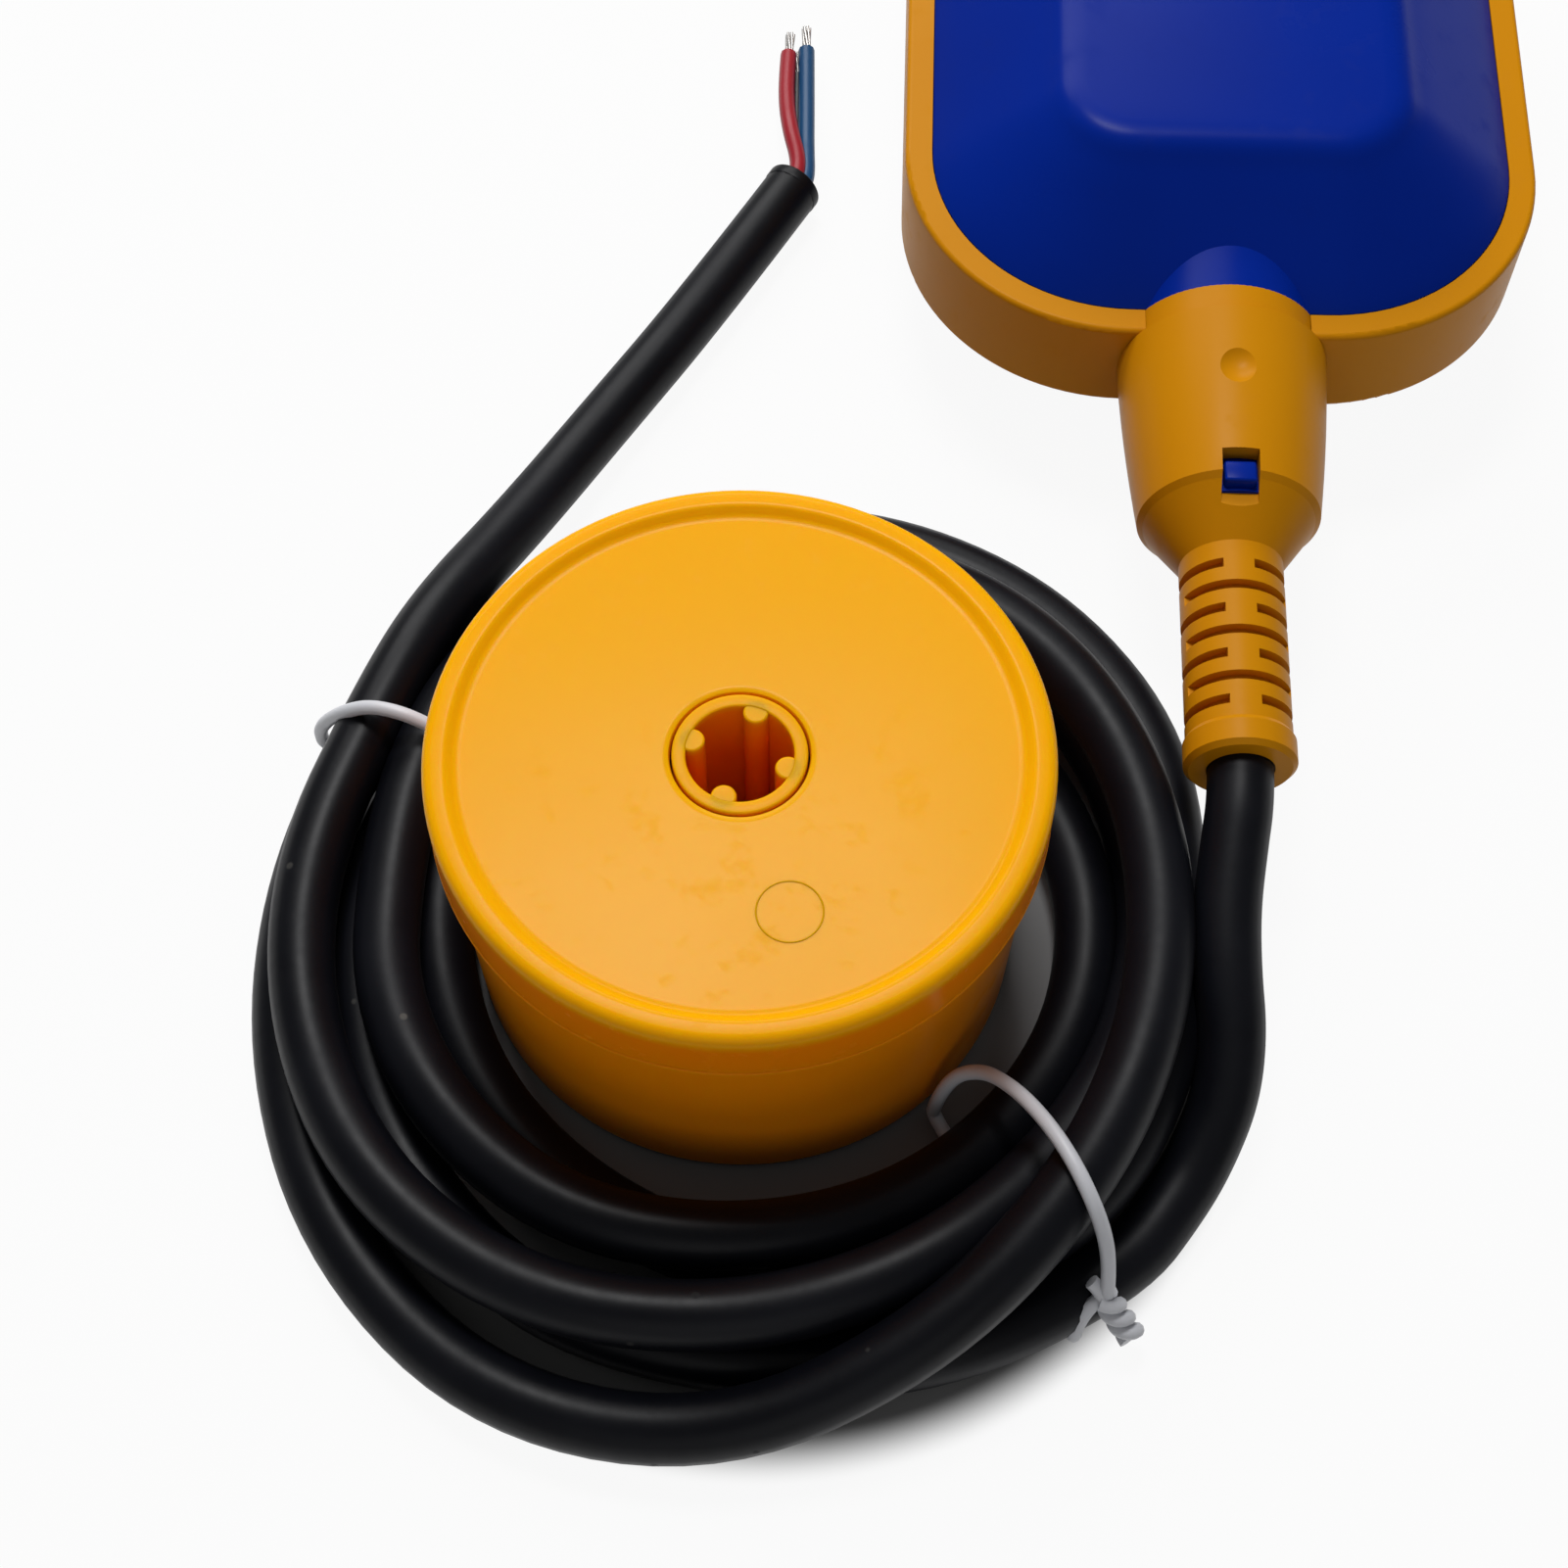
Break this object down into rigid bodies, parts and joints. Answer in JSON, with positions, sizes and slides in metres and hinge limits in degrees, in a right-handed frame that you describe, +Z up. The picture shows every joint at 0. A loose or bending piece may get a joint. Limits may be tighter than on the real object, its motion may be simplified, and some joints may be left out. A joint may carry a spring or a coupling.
{
  "type": "cable float switch",
  "caption": "Flat two-shell float switch with a framed edge, ribbed cable gland, coiled round cable with bare cores, and a round counterweight.",
  "frame": {"origin": "on the floor, at the middle of the box over the float with its gland and the counterweight, cords left out", "axes": "+Y along the float's neck axis, from the cable gland to the float's far end; +X from the counterweight's side to the float's side; +Z up, at right angles to the float's flat faces"},
  "size_m": [0.1542, 0.2437, 0.041],
  "materials": {
    "shell_blue": "deep blue moulded plastic, half gloss",
    "frame_yellow": "warm yellow moulded plastic, half gloss",
    "weight_yellow": "warm yellow moulded plastic, half gloss",
    "jacket_black": "black rubber cable jacket, shiny",
    "tie_white": "white plastic-coated wire",
    "core_red": "red core insulation",
    "core_blue": "blue core insulation",
    "core_black": "black core insulation",
    "strand_tinned": "tinned copper strands",
    "seal_black": "soft black rubber",
    "clamp_grey": "grey moulded plastic",
    "chamber_natural": "natural moulded plastic",
    "raceway_white": "smooth white plastic",
    "steel": "bright steel",
    "brass": "brass strip",
    "switch_dark": "dark moulded plastic",
    "switch_red": "red moulded plastic",
    "ballast_grey": "cast mineral ballast"
  },
  "bodies": {
    "float_and_cable": {"upper_shell": "shell_blue", "lower_shell": "shell_blue", "frame_band": "frame_yellow", "gland_sleeve": "frame_yellow", "neck_grommet": "seal_black", "clamp_ring": "clamp_grey", "cable_inner": "jacket_black", "chamber_tray": "chamber_natural", "chamber_lid": "chamber_natural", "chamber_screws": "steel", "core_bush": "seal_black", "ball_raceway": "raceway_white", "switch_case": "switch_dark", "switch_cover": "switch_dark", "switch_screws": "steel", "terminal_common": "brass", "terminal_open": "brass", "terminal_closed": "brass", "lever_pin": "steel", "lead_black": "core_black", "lead_blue": "core_blue", "lead_red": "core_red", "weight_cup": "weight_yellow", "weight_ballast": "ballast_grey", "weight_lid": "weight_yellow", "tie_left": "tie_white", "tie_right": "tie_white", "cable_coil": "jacket_black", "cable_lead": "jacket_black", "cable_tail": "jacket_black", "core_red": "core_red", "core_blue": "core_blue", "core_black": "core_black", "core_strands": "strand_tinned"},
    "ball": {"steel_ball": "steel"},
    "lever": {"switch_lever": "steel"},
    "plunger": {"switch_plunger": "switch_red"},
    "blade": {"contact_blade": "brass"}
  },
  "joints": [
    {"name": "ball_roll", "type": "slide", "parent": "float_and_cable", "child": "ball", "axis": [0, -1, 0], "range_m": [0, 0.02]},
    {"name": "lever_press", "type": "hinge", "parent": "float_and_cable", "child": "lever", "pos_m": [0.01375, 0.04825, 0.0205], "axis": [0, 0, -1], "range_deg": [0, 4.7], "stiffness_Nm_per_rad": 0.0005, "springref_deg": -2.86},
    {"name": "plunger_press", "type": "slide", "parent": "float_and_cable", "child": "plunger", "axis": [0, -1, 0], "range_m": [0, 0.0007]},
    {"name": "blade_swing", "type": "hinge", "parent": "float_and_cable", "child": "blade", "pos_m": [0.01775, 0.04, 0.0205], "axis": [0, 0, -1], "range_deg": [0, 8.84]}
  ],
  "couplings": [
    {"joint": "plunger_press", "follows": "lever_press", "m_per_rad": 0.00853},
    {"joint": "blade_swing", "follows": "lever_press", "ratio": 1.878}
  ]
}
